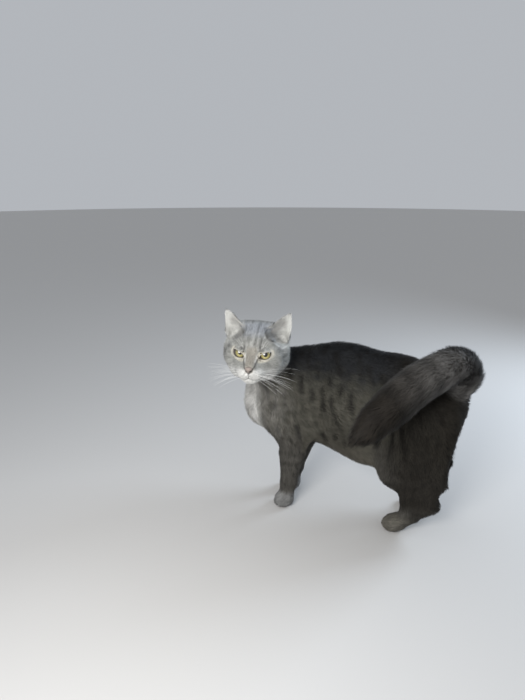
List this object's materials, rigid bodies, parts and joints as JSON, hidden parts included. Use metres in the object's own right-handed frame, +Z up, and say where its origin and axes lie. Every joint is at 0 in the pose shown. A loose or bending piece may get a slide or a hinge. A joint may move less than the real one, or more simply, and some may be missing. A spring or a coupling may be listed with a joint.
{
  "type": "domestic cat",
  "caption": "Standing grey tabby cat, life size, head turned back over its left shoulder and tail raised and swung to the left.",
  "frame": {"origin": "bottom centre of the bounding box, on the floor that the cat stands on", "axes": "the cat faces -X, its left side is towards -Y, +Z is up"},
  "size_m": [0.3898, 0.2426, 0.3514],
  "materials": {
    "coat": "short dense fur, dark grey tabby",
    "pale_coat": "short pale grey fur",
    "ear": "very short fur, pinkish inside",
    "eye": "wet, clear cornea over a yellow-green iris",
    "nose": "bare, slightly damp skin"
  },
  "bodies": {
    "root": {"head": "coat", "muzzle": "pale_coat", "nose": "nose", "eye_left": "eye", "eye_right": "eye", "ear_left": "ear", "ear_right": "ear", "neck": "coat", "trunk": "coat", "tail_base": "coat", "tail_middle": "coat", "tail_tip": "coat", "front_leg_left_upper": "coat", "front_leg_left_lower": "coat", "front_leg_left_paw": "pale_coat", "front_leg_right_upper": "coat", "front_leg_right_lower": "coat", "front_leg_right_paw": "pale_coat", "hind_leg_left_upper": "coat", "hind_leg_left_lower": "coat", "hind_leg_left_paw": "pale_coat", "hind_leg_right_upper": "coat", "hind_leg_right_lower": "coat", "hind_leg_right_paw": "pale_coat"}
  },
  "joints": []
}
